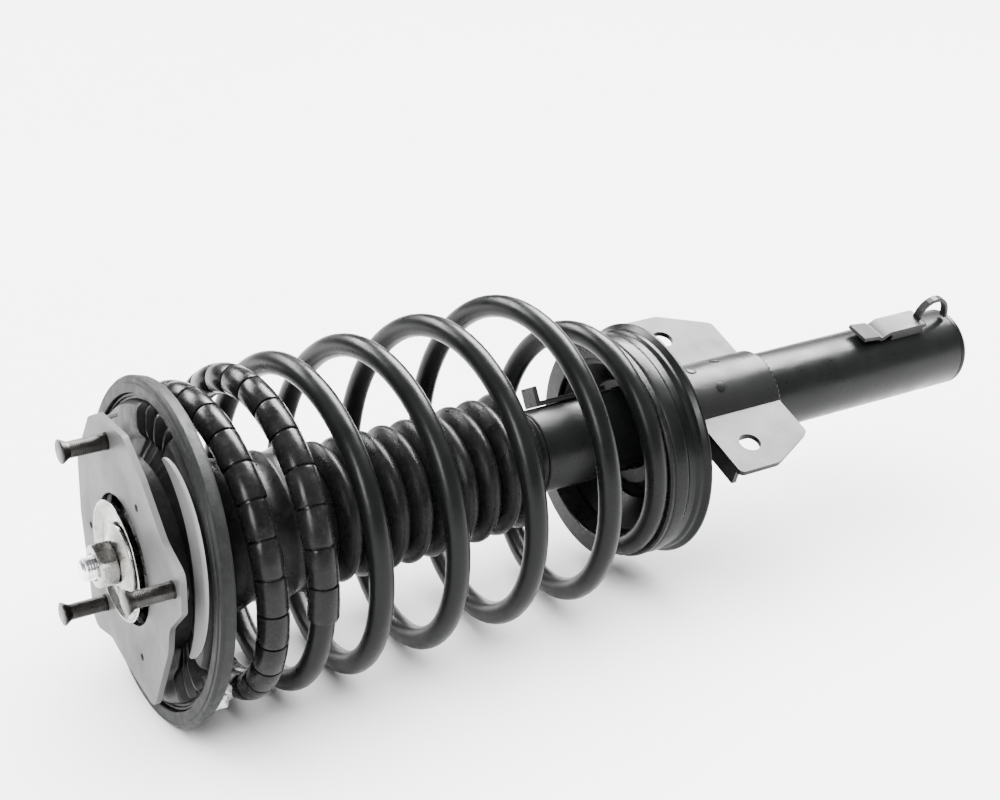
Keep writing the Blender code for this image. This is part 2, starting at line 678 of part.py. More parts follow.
def build_lower_isolator(parent):
    """A rubber ring whose face follows the last half turn of the wire, with a stop after the wire's end."""
    source = bmesh.new()
    back = LOWER_SEAT_FRONT - GAP
    inner, outer = LOWER_ISOLATOR_INNER, LOWER_SEAT_RADIUS
    end_angle = SPRING_START_ANGLE + math.tau * SPRING_TURNS
    profiles = []
    for step in range(FINE):
        angle = math.tau * step / FINE
        past = (angle - end_angle) % math.tau
        turn = SPRING_TURNS - (math.tau - past) / math.tau
        height = back - LOWER_ISOLATOR_WALL
        if math.radians(8) < past < math.radians(110):
            height -= LOWER_STOP_HEIGHT
        elif past > math.radians(215):
            height = min(height, spring_place(turn).x + WIRE_RADIUS + 2 * GAP)
        c, s = math.cos(angle), math.sin(angle)
        profile = [(back, inner), (height, inner), (height, outer), (back, outer)]
        profiles.append([source.verts.new((x, r * c, r * s + LOWER_SEAT_OFFSET)) for x, r in profile])
    for index in range(FINE):
        join(source, profiles[index - 1], profiles[index])
    add("lower_isolator", source, rubber, parent)


def strip(path, thickness):
    """The outline of a bent strip of one thickness along a path."""
    left, right = [], []
    for index, point in enumerate(path):
        before = Vector(path[max(index - 1, 0)])
        after = Vector(path[min(index + 1, len(path) - 1)])
        normal = (after - before).normalized().orthogonal() * thickness / 2
        left.append(tuple(Vector(point) + normal))
        right.append(tuple(Vector(point) - normal))
    return left + right[::-1]


def build_brackets(parent):
    half = WING_REACH
    front, back = WING_FRONT, WING_BACK
    outline = rounded([
        (front, -half, 0.003), (front + 0.026, -half, 0.008), (back, -half + 0.015, 0.004),

        (back, -WING_ROOT, 0.001),
        (back, WING_ROOT, 0.001), (back, half - 0.015, 0.004), (front + 0.026, half, 0.008),
        (front, half, 0.003),
    ], 3)
    low, high = WING_PLANE - SHEET / 2, WING_PLANE + SHEET / 2
    bracket = add("clamp_bracket", extruded_mesh(outline, low, high, 2), black_paint, parent)
    shell = turned_mesh(
        [(CLAMP_FRONT, 0), (CLAMP_FRONT, TUBE_RADIUS + GAP + SHEET), (back, TUBE_RADIUS + GAP + SHEET),
         (back, 0)], CLOSE)
    combine(bracket, "UNION", cutter("clamp_sleeve", shell, parent))
    for number, side in enumerate((-1, 1), 1):
        reach = (WING_ROOT + 0.008) * side, (half - 0.004) * side
        lip = extruded_mesh(
            [(front, reach[0]), (front, reach[1]), (front + SHEET, reach[1]), (front + SHEET, reach[0])],
            low - WING_LIP, low + SHEET / 2, 2)
        combine(bracket, "UNION", cutter(f"wing_lip_{number}", lip, parent))
        hole = extruded_mesh(circle(WING_HOLE_RADIUS, 24, (WING_HOLE_PLACE, WING_HOLE_REACH * side)),
                             low - 0.01, high + 0.01, 2)
        combine(bracket, "DIFFERENCE", cutter(f"wing_hole_{number}", hole, parent))
    bore = turned_mesh(
        [(CLAMP_FRONT - 0.02, 0), (CLAMP_FRONT - 0.02, TUBE_RADIUS + GAP),
         (back + 0.02, TUBE_RADIUS + GAP), (back + 0.02, 0)],
        CLOSE)
    combine(bracket, "DIFFERENCE", cutter("clamp_bore", bore, parent))
    below = extruded_mesh([(CLAMP_FRONT - 0.02, -0.06), (back + 0.02, -0.06), (back + 0.02, 0.06),
                           (CLAMP_FRONT - 0.02, 0.06)],
                          -0.06, -0.006, 2)
    combine(bracket, "DIFFERENCE", cutter("clamp_opening", below, parent))
    build_locator(parent)


def build_locator(strut):
    parent = empty("locator_axis")
    parent.rotation_euler = (strut.rotation_euler.x + LOCATOR_ANGLE, 0, 0)
    on_tube = TUBE_RADIUS + GAP + LOCATOR_THICKNESS / 2
    raised = on_tube + LOCATOR_RISE
    base = [(LOCATOR_TIP, on_tube + TIP_LIFT), (LOCATOR_TIP + TIP_LENGTH, on_tube + TIP_LIFT / 2),
            (LOCATOR_BEND - 0.002, on_tube),
            (LOCATOR_BEND, on_tube + 0.0004), (LOCATOR_BEND + 0.0040, raised),
            (LOCATOR_LOOP_START + 0.002, raised)]
    half = LOCATOR_WIDTH / 2
    bracket = add("locating_bracket", extruded_mesh(strip(base, LOCATOR_THICKNESS), -half, half, 1),
                  black_paint, parent)
    loop = []
    middle = (LOCATOR_LOOP_START + LOCATOR_LOOP_END) / 2
    reach = (LOCATOR_LOOP_END - LOCATOR_LOOP_START) / 2
    for step in range(13):
        angle = math.pi * (1 - step / 12)
        floor = raised if step < 6 else on_tube
        loop.append((middle + reach * math.cos(angle),
                     floor + (on_tube + LOOP_RISE - floor) * math.sin(angle)))
    half = LOOP_WIDTH / 2
    arch = extruded_mesh(strip(loop, LOCATOR_THICKNESS), -half, half, 1)
    combine(bracket, "UNION", cutter("locator_loop", arch, parent))
    skirt = [(LOCATOR_BEND + SKIRT_START, TUBE_RADIUS - SKIRT_START),
             (LOCATOR_LOOP_START, TUBE_RADIUS - SKIRT_START),
             (LOCATOR_LOOP_START, raised), (LOCATOR_BEND + SKIRT_START, raised)]
    for number, side in enumerate((-1, 1), 1):
        edge = (LOCATOR_WIDTH / 2 - LOCATOR_THICKNESS) * side, LOCATOR_WIDTH / 2 * side
        wall = extruded_mesh(skirt, *sorted(edge), 1)
        combine(bracket, "UNION", cutter(f"locator_skirt_{number}", wall, parent))
    bore = turned_mesh([(LOCATOR_TIP - 0.02, 0), (LOCATOR_TIP - 0.02, TUBE_RADIUS + GAP),
                        (TUBE_END + 0.02, TUBE_RADIUS + GAP), (TUBE_END + 0.02, 0)], CLOSE)
    combine(bracket, "DIFFERENCE", cutter("locator_bore", bore, parent))


def main():
    lying = empty("spring_axis")
    mount = empty("mount_axis")
    strut = empty("strut_axis")
    strut.rotation_euler = (LYING_ROLL, 0, 0)
    build_damper(strut)
    build_lower_seat(lying, strut)
    build_brackets(strut)
    build_piston(mount)
    build_mount(mount)
    race_seat = build_bearing(mount, lying)
    build_upper_seat(lying, race_seat)
    build_boot(lying)
    build_spring(lying)


clear_scene()
black_paint = material("black_paint", (0.012, 0.013, 0.013), 0.32, 0.0)
painted_steel = material("painted_steel", (0.05, 0.05, 0.052), 0.35, 0.3)
metal = material("bare_steel", (0.55, 0.55, 0.56), 0.35, 1.0)
chrome = material("chrome", (0.8, 0.8, 0.82), 0.12, 1.0)
zinc = material("zinc", (0.72, 0.72, 0.70), 0.3, 1.0)
sintered = material("sintered_steel", (0.25, 0.25, 0.26), 0.6, 1.0)
brass = material("bronze", (0.55, 0.38, 0.18), 0.4, 1.0)
rubber = material("rubber", (0.02, 0.02, 0.021), 0.75, 0.0)
bump_foam = material("bump_foam", (0.55, 0.45, 0.22), 0.8, 0.0)
grey_rubber = material("grey_rubber", (0.12, 0.13, 0.125), 0.6, 0.0)
plastic = material("plastic", (0.018, 0.018, 0.019), 0.5, 0.0)
main()
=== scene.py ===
"""Looks of the ready-mounted suspension strut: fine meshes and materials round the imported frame."""

import json
import math

import bmesh
import bpy
from mathutils import Matrix, Vector, noise


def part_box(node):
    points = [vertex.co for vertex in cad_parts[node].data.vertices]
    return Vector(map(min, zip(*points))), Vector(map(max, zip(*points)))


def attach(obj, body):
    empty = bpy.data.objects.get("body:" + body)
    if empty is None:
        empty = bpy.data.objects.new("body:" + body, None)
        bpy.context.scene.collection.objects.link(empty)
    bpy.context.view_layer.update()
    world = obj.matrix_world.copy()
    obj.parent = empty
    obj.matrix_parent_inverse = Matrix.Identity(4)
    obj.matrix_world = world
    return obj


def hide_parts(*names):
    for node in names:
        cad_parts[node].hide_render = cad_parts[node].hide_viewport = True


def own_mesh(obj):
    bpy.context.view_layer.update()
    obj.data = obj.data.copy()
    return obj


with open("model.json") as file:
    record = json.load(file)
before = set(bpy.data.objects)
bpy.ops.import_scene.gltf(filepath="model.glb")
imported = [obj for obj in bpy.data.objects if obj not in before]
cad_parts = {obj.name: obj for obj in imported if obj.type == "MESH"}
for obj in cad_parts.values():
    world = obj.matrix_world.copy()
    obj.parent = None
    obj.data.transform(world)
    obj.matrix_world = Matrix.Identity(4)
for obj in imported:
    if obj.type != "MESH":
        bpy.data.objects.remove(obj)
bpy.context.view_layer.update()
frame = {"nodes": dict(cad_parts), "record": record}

# The strut's own frame: x from the mount plate's front face, y and z from its axis
PLATE_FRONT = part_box("mount_plate")[0].x
AXIS_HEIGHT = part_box("strut_tube")[0].lerp(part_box("strut_tube")[1], 0.5).z
ORIGIN = Vector((PLATE_FRONT, 0, AXIS_HEIGHT))
LYING_ROLL = math.radians(21)
FINE = 160
DULL_REFLECTION = 0.10  # paint, rubber and plastic reflect less than bare metal
TUBE_WALL = 0.0026


def span(node):
    """(front, back, radius) of a round node in the strut's own frame."""
    low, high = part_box(node)
    return low.x - ORIGIN.x, high.x - ORIGIN.x, (high.y - low.y) / 2


# ---------------------------------------------------------------- materials

class Nodes:
    """Short names for building one material's node tree, in object coordinates."""

    def __init__(self, name, roughness, metallic=0.0):
        self.material = bpy.data.materials.new(name)
        self.material.use_nodes = True
        self.tree = self.material.node_tree
        self.shader = self.tree.nodes["Principled BSDF"]
        self.shader.inputs["Roughness"].default_value = roughness
        self.shader.inputs["Metallic"].default_value = metallic
        self.coords = self.new("ShaderNodeTexCoord").outputs["Object"]

    def new(self, kind, **settings):
        node = self.tree.nodes.new(kind)
        for key, value in settings.items():
            setattr(node, key, value)
        return node

    def link(self, out, into):
        self.tree.links.new(out, into)

    def stretched(self, scale):
        mapping = self.new("ShaderNodeMapping")
        mapping.inputs["Scale"].default_value = scale
        self.link(self.coords, mapping.inputs["Vector"])
        return mapping.outputs["Vector"]

    def noise(self, scale, detail=4.0, rough=0.55, stretch=None):
        node = self.new("ShaderNodeTexNoise")
        node.inputs["Scale"].default_value = scale
        node.inputs["Detail"].default_value = detail
        node.inputs["Roughness"].default_value = rough
        self.link(self.stretched(stretch) if stretch else self.coords, node.inputs["Vector"])
        return node.outputs["Fac"]

    def cells(self, scale):
        node = self.new("ShaderNodeTexVoronoi")
        node.inputs["Scale"].default_value = scale
        self.link(self.coords, node.inputs["Vector"])
        return node.outputs["Distance"]

    def ramp(self, fac, stops):
        node = self.new("ShaderNodeValToRGB")
        ends = node.color_ramp.elements
        while len(ends) < len(stops):
            ends.new(0.5)
        for element, (place, colour) in zip(ends, stops):
            element.position = place
            element.color = (*colour, 1)
        self.link(fac, node.inputs["Fac"])
        return node.outputs["Color"]

    def spread(self, fac, low, high, start=0.3, end=0.7):
        node = self.new("ShaderNodeMapRange")
        for key, value in (("From Min", start), ("From Max", end), ("To Min", low), ("To Max", high)):
            node.inputs[key].default_value = value
        self.link(fac, node.inputs["Value"])
        return node.outputs["Result"]

    def edges(self, start=0.51, end=0.58):
        """0 on flat stretches, 1 on sharp outer edges."""
        pointiness = self.new("ShaderNodeNewGeometry").outputs["Pointiness"]
        return self.spread(pointiness, 0.0, 1.0, start, end)

    def mix(self, fac, one, two):
        node = self.new("ShaderNodeMix", data_type="RGBA")
        self.link(fac, node.inputs["Factor"])
        self.link(one, node.inputs["A"])
        if isinstance(two, tuple):
            node.inputs["B"].default_value = (*two, 1)
        else:
            self.link(two, node.inputs["B"])
        return node.outputs["Result"]

    def colour(self, out):
        self.link(out, self.shader.inputs["Base Color"])

    def roughness(self, out):
        self.link(out, self.shader.inputs["Roughness"])

    def bump(self, *layers):
        """Layers of (height output, distance in metres)."""
        normal = None
        for height, distance in layers:
            node = self.new("ShaderNodeBump")
            node.inputs["Distance"].default_value = distance
            self.link(height, node.inputs["Height"])
            if normal:
                self.link(normal, node.inputs["Normal"])
            normal = node.outputs["Normal"]
        self.link(normal, self.shader.inputs["Normal"])


def paint(name, dark, light, edge, rough, peel=0.00006):
    """Black paint: slow colour drift, orange peel, dust specks and paler rubbed edges."""
    n = Nodes(name, rough)
    drift = n.ramp(n.noise(26, 5), [(0.30, dark), (0.72, light)])
    dust = n.spread(n.noise(900, 2, 0.7), 0.0, 0.35, 0.66, 0.80)
    dusty = n.mix(dust, drift, tuple(c * 5 for c in light))
    n.colour(n.mix(n.edges(), dusty, edge))
    n.roughness(n.spread(n.noise(55, 6, 0.6), rough - 0.06, rough + 0.10))
    n.bump((n.noise(420, 2), peel), (n.noise(2600, 2), peel * 0.25))
    n.shader.inputs["Specular IOR Level"].default_value = DULL_REFLECTION
    return n.material


def plated(name, dark, light, rough, stretch=(1, 1, 1), grain=1400):
    """Zinc plate or bare steel: mottled colour, fine grain, duller stains."""
    n = Nodes(name, rough, 1.0)
    mottle = n.ramp(n.noise(140, 6, 0.65), [(0.28, dark), (0.70, light)])
    stain = n.spread(n.noise(60, 4), 0.0, 0.6, 0.58, 0.78)
    n.colour(n.mix(stain, mottle, tuple(c * 0.62 for c in dark)))
    n.roughness(n.spread(n.noise(220, 5, 0.6), rough - 0.08, rough + 0.14))
    n.bump((n.noise(grain, 3, stretch=stretch), 0.00004), (n.noise(90, 3), 0.00008))
    return n.material


def moulded(name, dark, light, rough, grain=1800, depth=0.00008):
    """Rubber or plastic: moulded grain, faint bloom and dust in random patches."""
    n = Nodes(name, rough)
    body = n.ramp(n.noise(40, 5, 0.6), [(0.32, dark), (0.70, light)])
    bloom = n.spread(n.noise(300, 4, 0.7), 0.0, 0.22, 0.52, 0.75)
    n.colour(n.mix(bloom, body, tuple(min(1.0, c * 1.9 + 0.02) for c in light)))
    n.roughness(n.spread(n.noise(160, 4), rough - 0.08, rough + 0.10))
    n.bump((n.cells(grain), depth), (n.noise(120, 3), depth))
    n.shader.inputs["Specular IOR Level"].default_value = DULL_REFLECTION
    return n.material


def foam():
    n = Nodes("bump_foam", 0.8)
    n.colour(n.ramp(n.cells(900), [(0.1, (0.36, 0.28, 0.12)), (0.6, (0.60, 0.50, 0.26))]))
    n.bump((n.cells(900), 0.0003))
    return n.material


def film_with_painted_glints():
    """Clear film wrapped tightly over the black wire, with painted highlights: pale patches in its colour
    stand for glints on the creases.
    """
    n = Nodes("clear_film", 0.10)
    # Painted highlights: pale grey patches stand for glints on the film's creases, dark patches for the wire
    # beneath.
    n.colour(n.ramp(n.noise(230, 5, 0.7), [(0.40, (0.03, 0.03, 0.032)), (0.56, (0.72, 0.73, 0.74))]))
    n.roughness(n.spread(n.noise(500, 3), 0.05, 0.22))
    n.bump((n.noise(320, 6, 0.75), 0.0009), (n.cells(700), 0.0003))
    n.shader.inputs["Coat Weight"].default_value = 1.0
    n.shader.inputs["Coat Roughness"].default_value = 0.04
    return n.material


FINISHES = {
    "black_paint": paint("black_paint", (0.0015, 0.0018, 0.0018), (0.003, 0.0034, 0.0034),
                         (0.015, 0.015, 0.015), 0.30),
    "spring_paint": paint("spring_paint", (0.0015, 0.0018, 0.0018), (0.003, 0.0034, 0.0034),
                          (0.006, 0.006, 0.006), 0.30),
    "mount_paint": paint("mount_paint", (0.022, 0.022, 0.021), (0.034, 0.034, 0.033),
                         (0.16, 0.16, 0.16), 0.38),
    "dark_zinc": plated("dark_zinc", (0.016, 0.0155, 0.015), (0.045, 0.044, 0.042), 0.32, (1, 6, 6)),
    "bright_zinc": plated("bright_zinc", (0.15, 0.15, 0.143), (0.33, 0.327, 0.313), 0.24),
    "bare_steel": plated("bare_steel", (0.42, 0.42, 0.43), (0.62, 0.62, 0.63), 0.28),
    "chrome": plated("chrome", (0.70, 0.70, 0.72), (0.84, 0.84, 0.86), 0.12, (30, 1, 1)),
    "sintered_steel": plated("sintered_steel", (0.16, 0.16, 0.17), (0.30, 0.30, 0.31), 0.55),
    "bronze": plated("bronze", (0.42, 0.28, 0.12), (0.62, 0.44, 0.22), 0.35),
    "black_rubber": moulded("black_rubber", (0.0025, 0.0025, 0.0025), (0.006, 0.006, 0.006), 0.30),
    "grey_rubber": moulded("grey_rubber", (0.0048, 0.0052, 0.0050), (0.0085, 0.0092, 0.0089), 0.48),
    "seat_plastic": moulded("seat_plastic", (0.003, 0.003, 0.003), (0.007, 0.007, 0.007), 0.38),
    "black_plastic": moulded("black_plastic", (0.012, 0.012, 0.013), (0.024, 0.024, 0.025), 0.45),
    "sleeve_plastic": moulded("sleeve_plastic", (0.003, 0.003, 0.003), (0.007, 0.007, 0.007), 0.24,
                              2400, 0.00003),
    "clear_film": film_with_painted_glints(),
    "bump_foam": foam(),
}


# ---------------------------------------------------------------- mesh helpers

def finished(name, source, slot, body, nodes=(), angle=38):
    """One piece from a bmesh in the strut's own frame: placed, shaded, painted and riding on its body."""
    bmesh.ops.remove_doubles(source, verts=source.verts, dist=0.000002)
    bmesh.ops.recalc_face_normals(source, faces=source.faces)
    bmesh.ops.translate(source, verts=source.verts, vec=ORIGIN)
    mesh = bpy.data.meshes.new(name)
    source.to_mesh(mesh)
    source.free()
    mesh.shade_smooth()
    mesh.set_sharp_from_angle(angle=math.radians(angle))
    mesh.materials.append(FINISHES[slot])
    made = bpy.data.objects.new(name, mesh)
    bpy.context.scene.collection.objects.link(made)
    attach(made, body)
    if nodes:
        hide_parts(*nodes)
    return made


def rounded(corners, steps=4, closed=True):
    """An outline whose corners (u, v, radius) become arcs; a corner with no radius stays sharp."""
    outline = []
    for index, corner in enumerate(corners):
        here = Vector(corner[:2])
        radius = corner[2] if len(corner) > 2 else 0
        if not radius or not closed and index in (0, len(corners) - 1):
            outline.append(tuple(here))
            continue
        before = Vector(corners[index - 1][:2]) - here
        after = Vector(corners[(index + 1) % len(corners)][:2]) - here
        half = before.angle(after) / 2
        if half > math.radians(88):
            outline.append(tuple(here))
            continue
        reach = min(radius / math.tan(half), before.length * 0.48, after.length * 0.48)
        arc = reach * math.tan(half)
        centre = here + (before.normalized() + after.normalized()).normalized() * arc / math.sin(half)
        first = here + before.normalized() * reach - centre
        turn = first.angle_signed(here + after.normalized() * reach - centre)
        for step in range(steps + 1):
            outline.append(tuple(centre + Matrix.Rotation(-turn * step / steps, 2) @ first))
    return outline


def turned(outline, segments=FINE, centre=(0, 0)):
    """A solid of revolution about X from (x, radius) points; it closes on itself, or on the axis."""
    source = bmesh.new()
    on_axis = outline[0][1] == 0
    rings = []
    for x, r in outline:
        if r == 0:
            rings.append([source.verts.new((x, *centre))])
            continue
        angles = [math.tau * step / segments for step in range(segments)]
        rings.append([source.verts.new((x, centre[0] + r * math.cos(a),
                                        centre[1] + r * math.sin(a))) for a in angles])
    pairs = list(zip(rings, rings[1:]))
    if not on_axis:
        pairs.append((rings[-1], rings[0]))
    for one, two in pairs:
        bridge(source, one, two)
    return source


def bridge(source, one, two):
    """Faces between two closed rings; a ring of one point is a tip."""
    count = max(len(one), len(two))
    for index in range(count):
        corners = []
        for line, place in ((one, index - 1), (one, index), (two, index), (two, index - 1)):
            vert = line[place % len(line)]
            if vert not in corners:
                corners.append(vert)
        source.faces.new(corners)


def threads(start, end, root, crest, pitch):
    """Points of a thread's flanks along X, from start to end."""
    points = []
    count = int(abs(end - start) / pitch)
    step = (end - start) / count
    for turn in range(count):
        points += [(start + step * (turn + 0.15), root), (start + step * (turn + 0.5), crest),
                   (start + step * (turn + 0.65), crest)]
    return points


def frames(path):
    """(point, across, up) at each point of a path that winds about X."""
    for index, point in enumerate(path):
        along = (path[min(index + 1, len(path) - 1)] - path[max(index - 1, 0)]).normalized()
        across = Vector((1, 0, 0)).cross(along).normalized()
        yield point, across, along.cross(across)


def swept(path, radii, sides):
    """A bar of changing radius along a path, closed at both ends."""
    source = bmesh.new()
    rings = []
    for (point, across, up), radius in zip(frames(path), radii):
        angles = [math.tau * step / sides for step in range(sides)]
        outwards = [across * math.cos(a) + up * math.sin(a) for a in angles]
        rings.append([source.verts.new(point + out * radius) for out in outwards])
    for one, two in zip(rings, rings[1:]):
        bridge(source, one, two)
    source.faces.new(rings[0])
    source.faces.new(rings[-1])
    return source


def joined(*sources):
    whole = bmesh.new()
    for source in sources:
        mesh = bpy.data.meshes.new("part")
        source.to_mesh(mesh)
        source.free()
        whole.from_mesh(mesh)
        bpy.data.meshes.remove(mesh)
    return whole


def rolled(source, angle=LYING_ROLL):
    bmesh.ops.rotate(source, verts=source.verts, matrix=Matrix.Rotation(angle, 3, "X"))
    return source


def refined(node, body, slot, width, segments=2):
    """The CAD node's own shape with its edges rounded off."""
    source = bmesh.new()
    source.from_mesh(frame["nodes"][node].data)
    bmesh.ops.remove_doubles(source, verts=source.verts, dist=0.00001)
    bmesh.ops.dissolve_limit(source, angle_limit=math.radians(1), verts=source.verts, edges=source.edges)
    bmesh.ops.translate(source, verts=source.verts, vec=-ORIGIN)
    sharp = [e for e in source.edges if e.is_manifold and e.calc_face_angle(0) > math.radians(28)]
    bmesh.ops.bevel(source, geom=sharp, offset=width, segments=segments, profile=0.5,
                    affect="EDGES", clamp_overlap=True)
    return finished(f"{node}_surface", source, slot, body, [node], 14)


# ---------------------------------------------------------------- spring

WIRE_RADIUS = 0.0060
SPRING_RADIUS = 0.078
SPRING_START = 0.0306
SPRING_END = 0.2724
SPRING_START_ANGLE = math.radians(235)
SPRING_TURNS = 7.04
STEPS_PER_TURN = 64
# Share of the turns: share of the length, change of coil radius, sideways shift, lean in degrees
SPRING_STATIONS = [
    (0.000, 0.000, -0.0055, -0.0010, 4.0),
    (0.075, 0.014, -0.0055, -0.0010, 4.0),
    (0.144, 0.078, -0.0045, -0.0010, 4.0),
    (0.217, 0.125, -0.0025, -0.0010, 4.0),
    (0.360, 0.230, 0.0000, -0.0010, 4.0),
    (0.568, 0.475, 0.0000, 0.0005, 4.5),
    (0.785, 0.757, 0.0005, 0.0030, 4.5),
    (0.853, 0.843, -0.0020, 0.0005, 4.0),
    (0.928, 0.958, -0.0150, -0.0040, 3.0),
    (0.975, 0.997, -0.0220, -0.0060, 0.0),
    (1.000, 1.000, -0.0220, -0.0060, 0.0),
]


def smooth(places, values, place):
    """A smooth curve through the values, each at its place."""
    last = len(places) - 2
    index = min(max(sum(place >= p for p in places) - 1, 0), last)
    slopes = []
    for knot in (index, index + 1):
        before, after = max(knot - 1, 0), min(knot + 1, last + 1)
        slopes.append((values[after] - values[before]) / (places[after] - places[before]))
    width = places[index + 1] - places[index]
    t = (place - places[index]) / width
    return (
        values[index] * (1 + 2 * t) * (1 - t) ** 2
        + slopes[0] * width * t * (1 - t) ** 2
        + values[index + 1] * t * t * (3 - 2 * t)
        + slopes[1] * width * t * t * (t - 1)
    )


def spring_place(turn):
    """The wire's centre after a number of turns from the upper end."""
    share, along, radius, rise, lean = zip(*SPRING_STATIONS)
    at = turn / SPRING_TURNS
    x = SPRING_START + (SPRING_END - SPRING_START) * smooth(share, along, at)
    r = SPRING_RADIUS + smooth(share, radius, at)
    angle = SPRING_START_ANGLE + math.tau * turn
    y, z = r * math.cos(angle), r * math.sin(angle)
    return Vector((x + z * math.tan(math.radians(smooth(share, lean, at))), y,
                   z + smooth(share, rise, at)))


def wire_path(first, last, count):
    return [spring_place(first + (last - first) * step / count) for step in range(count + 1)]


def squashes(piece):
    """The piece gets its own copy of its mesh."""
    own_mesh(piece)


def make_spring():
    count = int(SPRING_TURNS * STEPS_PER_TURN)
    path = wire_path(0, SPRING_TURNS, count)
    chamfer = 0.0008
    radii = [WIRE_RADIUS] * len(path)
    radii[0] = radii[-1] = WIRE_RADIUS - chamfer
    spring = finished("coil_spring_wire", swept(path, radii, 24), "spring_paint", "upper_seat",
                      ["coil_spring"])
    squashes(spring)


SLEEVE_FIRST, SLEEVE_LAST = 0.0625, 1.875
SLEEVE_PIECES = 48
SLEEVE_RADIUS = 0.0077


def make_sleeve():
    """A flexible tube over the first turns, split into short glossy barrels."""
    # Share of a barrel's length: share of its radius step
    barrel = [(0.00, 0.0), (0.03, 0.0), (0.035, 0.8), (0.06, 1.0), (0.50, 1.0), (0.94, 1.0),
              (0.965, 0.8), (0.97, 0.0)]
    groove = WIRE_RADIUS + 0.0006
    path, radii = [], []
    for piece in range(SLEEVE_PIECES):
        for share, height in barrel:
            turn = SLEEVE_FIRST + (SLEEVE_LAST - SLEEVE_FIRST) * (piece + share) / SLEEVE_PIECES
            path.append(spring_place(turn))
            radii.append(groove + (SLEEVE_RADIUS - groove) * height)
    sleeve = finished("sleeve_barrels", swept(path, radii, 24), "sleeve_plastic", "upper_seat",
                      ["spring_sleeve"], 50)
    squashes(sleeve)


def make_end_wrap():
    """Crumpled clear film round the wire's upper end."""
    rings, sides = 46, 44
    first, last = -0.010, 0.052
    path = wire_path(first, last, rings)
    source = bmesh.new()
    lines = []
    for index, (point, across, up) in enumerate(frames(path)):
        ease = math.sin(math.pi * min(1, index / rings * 6) / 2) if index < rings / 2 else 1
        line = []
        for side in range(sides):
            angle = math.tau * side / sides
            out = across * math.cos(angle) + up * math.sin(angle)
            place = point + out * 0.008
            crumple = noise.noise(place * 330) * 0.0016 + noise.noise(place * 900) * 0.0006
            line.append(source.verts.new(point + out * (0.0068 * ease + 0.0007 + crumple)))
        lines.append(line)
    for one, two in zip(lines, lines[1:]):
        bridge(source, one, two)
    source.faces.new(lines[0])
    source.faces.new(lines[-1])
    wrap = finished("end_film", source, "clear_film", "upper_seat", ["spring_end_wrap"], 16)
    squashes(wrap)


# ---------------------------------------------------------------- upper seat and ring

SEAT_LEAN = math.radians(4.5)
LEAN_START = 0.0520


def leaned(source):
    for vert in source.verts:
        if math.hypot(vert.co.y, vert.co.z) > LEAN_START:
            vert.co.x += vert.co.z * math.tan(SEAT_LEAN)
    return source


def make_ring():
    _, _, radius = span("upper_isolator")
    inner = 0.0771
    outline = rounded([
        (0.0130, inner, 0.0006), (0.0130, radius - 0.0036, 0.0004), (0.0136, radius - 0.0032, 0.0003),
        (0.0136, radius - 0.0012, 0.0010), (0.0152, radius, 0.0012), (0.0205, radius - 0.0014, 0.0006),
        (0.0208, radius - 0.0020, 0.0002), (0.0214, radius - 0.0022, 0.0002),
        (0.0225, radius - 0.0040, 0.0008),
        (0.0225, 0.0622, 0.0006), (0.0201, 0.0622, 0.0004), (0.0201, inner, 0.0004),
    ])
    finished("isolator_ring", leaned(turned(outline, 240)), "grey_rubber", "upper_seat",
             ["upper_isolator"], 50)


POCKET_ANGLES = [math.radians(angle) for angle in (96, 218, 338)]
POCKET_HALF = math.radians(14)


def make_seat():
    """The ridge drops to a floor at each pocket; its inner wall is a quarter-round slope."""
    _, _, ring_radius = span("upper_spring_seat")
    segments = 288
    hub_front, hub_bore, hub_wall, hub_back = 0.0114, 0.0300, 0.0030, 0.0357
    race_wall = 0.0440
    ridge = [(0.0150, 0.0555), (0.0143, 0.0568), (0.0128, 0.0582), (0.0116, 0.0600), (0.0110, 0.0622),
             (0.0109, 0.0660), (0.0111, 0.0700), (0.0118, 0.0722), (0.0136, 0.0734), (0.0160, 0.0740)]
    pocket = [(0.0162, 0.0555), (0.0164, 0.0568), (0.0164, 0.0582), (0.0164, 0.0600), (0.0164, 0.0622),
              (0.0164, 0.0660), (0.0164, 0.0700), (0.0164, 0.0722), (0.0163, 0.0734), (0.0162, 0.0740)]
    front = [(hub_front + 0.0012, hub_bore), (hub_front, hub_bore + 0.0010),
             (hub_front, race_wall - 0.0002),
             (0.0085, race_wall), (0.0085, race_wall + 0.0025), (0.0150, race_wall + 0.0040)]
    rim = [(0.0160, 0.0750), (0.0150, 0.0755), (0.0150, ring_radius - 0.0004), (0.0160, ring_radius),
           (0.0197, ring_radius), (0.0197, 0.0610), (0.0197, hub_bore + hub_wall + 0.002)]
    hub = [(0.0205, hub_bore + hub_wall), (hub_back - 0.001, hub_bore + hub_wall),
           (hub_back, hub_bore + hub_wall - 0.001),
           (hub_back, 0.0155), (hub_back - hub_wall, 0.0155), (hub_back - hub_wall, hub_bore)]
    source = bmesh.new()
    rings = []
    for step in range(segments):
        angle = math.tau * step / segments
        away = min(abs((angle - middle + math.pi) % math.tau - math.pi) for middle in POCKET_ANGLES)
        depth = 1 - min(max((away - POCKET_HALF) / math.radians(1.6) + 0.5, 0), 1)
        rib = depth * (math.cos((away / POCKET_HALF) * math.pi * 3) > 0.72)
        low = depth * (1 - 0.62 * rib)
        middle = [(a[0] + (b[0] - a[0]) * low, a[1]) for a, b in zip(ridge, pocket)]
        outline = front + middle + rim + hub
        rings.append([source.verts.new((x, r * math.cos(angle), r * math.sin(angle))) for x,
                      r in outline])
    for index in range(segments):
        bridge(source, rings[index - 1], rings[index])
    finished("seat_body", leaned(source), "seat_plastic", "upper_seat", ["upper_spring_seat"], 32)


# Painted highlight: the angles between which the pale crescent runs round the seat.
HIGHLIGHT_FROM, HIGHLIGHT_TO = math.radians(112), math.radians(204)


